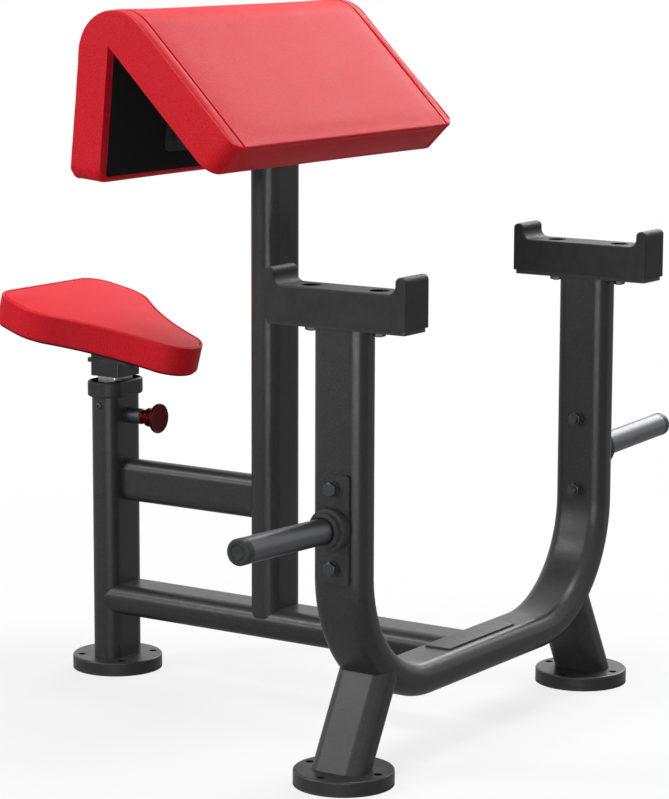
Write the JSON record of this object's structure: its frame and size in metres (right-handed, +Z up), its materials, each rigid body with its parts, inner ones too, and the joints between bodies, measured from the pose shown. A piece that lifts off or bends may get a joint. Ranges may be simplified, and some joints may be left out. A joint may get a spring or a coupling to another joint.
{
  "type": "preacher curl bench",
  "caption": "Bolt-down preacher curl bench: sloped arm pad on a post, tilted seat that slides and locks with a spring pin, and a U-shaped front frame with bar catches and weight pegs.",
  "frame": {"origin": "on the floor, under the middle of the bench's box", "axes": "+X to the sitter's left, +Y to the back where the seat is, +Z up"},
  "size_m": [1.2488, 0.9735, 1.1137],
  "materials": {
    "frame_paint": "satin",
    "rubber": "matte",
    "urethane": "satin",
    "black_plastic": "matte",
    "nylon": "satin",
    "stainless": "satin",
    "zinc": "satin",
    "black_steel": "satin",
    "red_anodised": "satin",
    "red_vinyl": "satin",
    "board": "matte"
  },
  "bodies": {
    "frame": {"rear_foot_plate": "frame_paint", "right_foot_plate": "frame_paint", "left_foot_plate": "frame_paint", "rear_upright": "frame_paint", "lower_beam": "frame_paint", "mid_brace": "frame_paint", "centre_post": "frame_paint", "u_frame": "frame_paint", "right_leg": "frame_paint", "left_leg": "frame_paint", "cross_plate": "frame_paint", "pad_plate": "frame_paint", "pad_strut": "frame_paint", "pad_strip": "frame_paint", "right_catch_plate": "frame_paint", "left_catch_plate": "frame_paint", "right_peg_plate": "frame_paint", "left_peg_plate": "frame_paint", "rear_foot_pad": "rubber", "right_foot_pad": "rubber", "left_foot_pad": "rubber", "right_peg_bumper": "rubber", "left_peg_bumper": "rubber", "right_catch_pad": "urethane", "left_catch_pad": "urethane", "post_collar": "black_plastic", "right_peg_cap": "black_plastic", "left_peg_cap": "black_plastic", "guide_bush": "nylon", "right_peg_sleeve": "stainless", "left_peg_sleeve": "stainless", "pin_barrel": "zinc", "pin_spring": "zinc", "right_peg_core": "zinc", "left_peg_core": "zinc", "bush_screws": "black_steel", "catch_screws": "black_steel", "catch_nuts": "black_steel", "pad_plate_screws": "black_steel", "pad_strip_screws": "black_steel", "peg_bolts": "black_steel", "peg_washers": "black_steel", "peg_nuts": "black_steel", "pad_cushion": "red_vinyl", "pad_board_front": "board", "pad_board_rear": "board"},
    "seat": {"seat_post": "zinc", "seat_post_plug": "black_plastic", "seat_bracket": "frame_paint", "seat_plate": "frame_paint", "seat_board": "board", "seat_cushion": "red_vinyl", "seat_screws": "black_steel"},
    "pin": {"pin_plunger": "stainless", "pin_knob": "red_anodised"}
  },
  "joints": [
    {"name": "seat_slide", "type": "slide", "parent": "frame", "child": "seat", "axis": [0, 0, 1], "range_m": [0, 0.15]},
    {"name": "pin_pull", "type": "slide", "parent": "frame", "child": "pin", "axis": [0, -1, 0], "range_m": [0, 0.01], "stiffness_N_per_m": 900, "springref_m": -0.008, "deforming": ["pin_spring"]}
  ]
}
